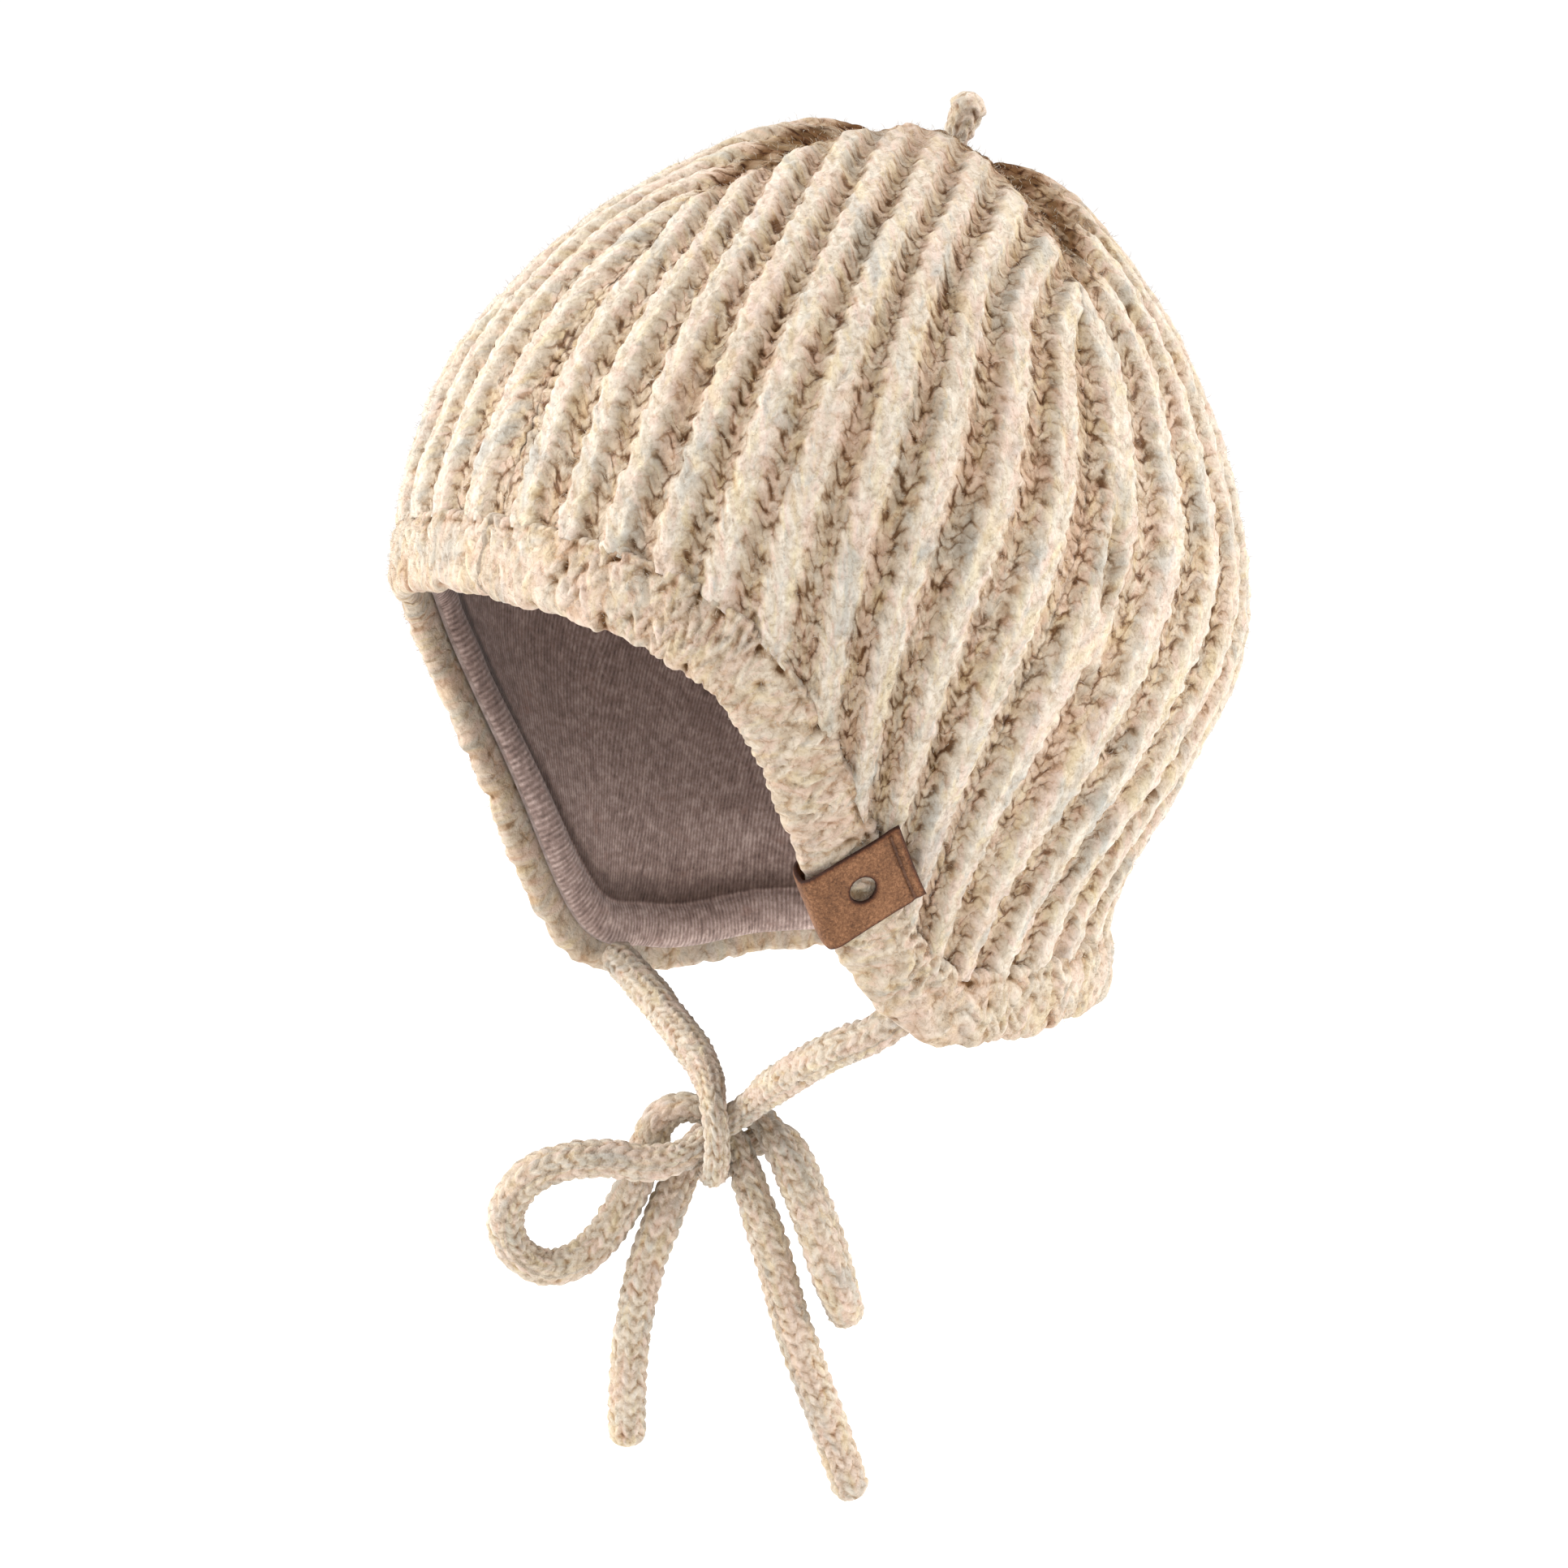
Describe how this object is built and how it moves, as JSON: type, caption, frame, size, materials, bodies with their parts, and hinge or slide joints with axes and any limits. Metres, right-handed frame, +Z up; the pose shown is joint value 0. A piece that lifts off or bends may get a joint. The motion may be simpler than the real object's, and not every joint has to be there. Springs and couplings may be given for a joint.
{
  "type": "knit earflap hat",
  "caption": "Soft ribbed knit hat with ear flaps, a thick knitted edge band, a jersey lining, a side label and knitted cord ties tied in a bow below the chin.",
  "frame": {"origin": "where the hat sits on the top of a head: the underside of the lining under the middle of the crown", "axes": "+X to the wearer's left, where the label is; -Y forwards, the way the face opening looks; +Z up"},
  "size_m": [0.1598, 0.1642, 0.279],
  "materials": {
    "wool_knit": "brushed chunky rib knit",
    "band_knit": "chunky knit laid across the edge",
    "jersey": "fine soft jersey",
    "tie_knit": "tubular knitted cord",
    "leatherette": "matte with a soft grain"
  },
  "bodies": {
    "root": {"crown": "wool_knit", "edge_band": "band_knit", "lining": "jersey", "top_stub": "wool_knit", "label": "leatherette", "tie_right": "tie_knit", "tie_left": "tie_knit"}
  },
  "joints": []
}
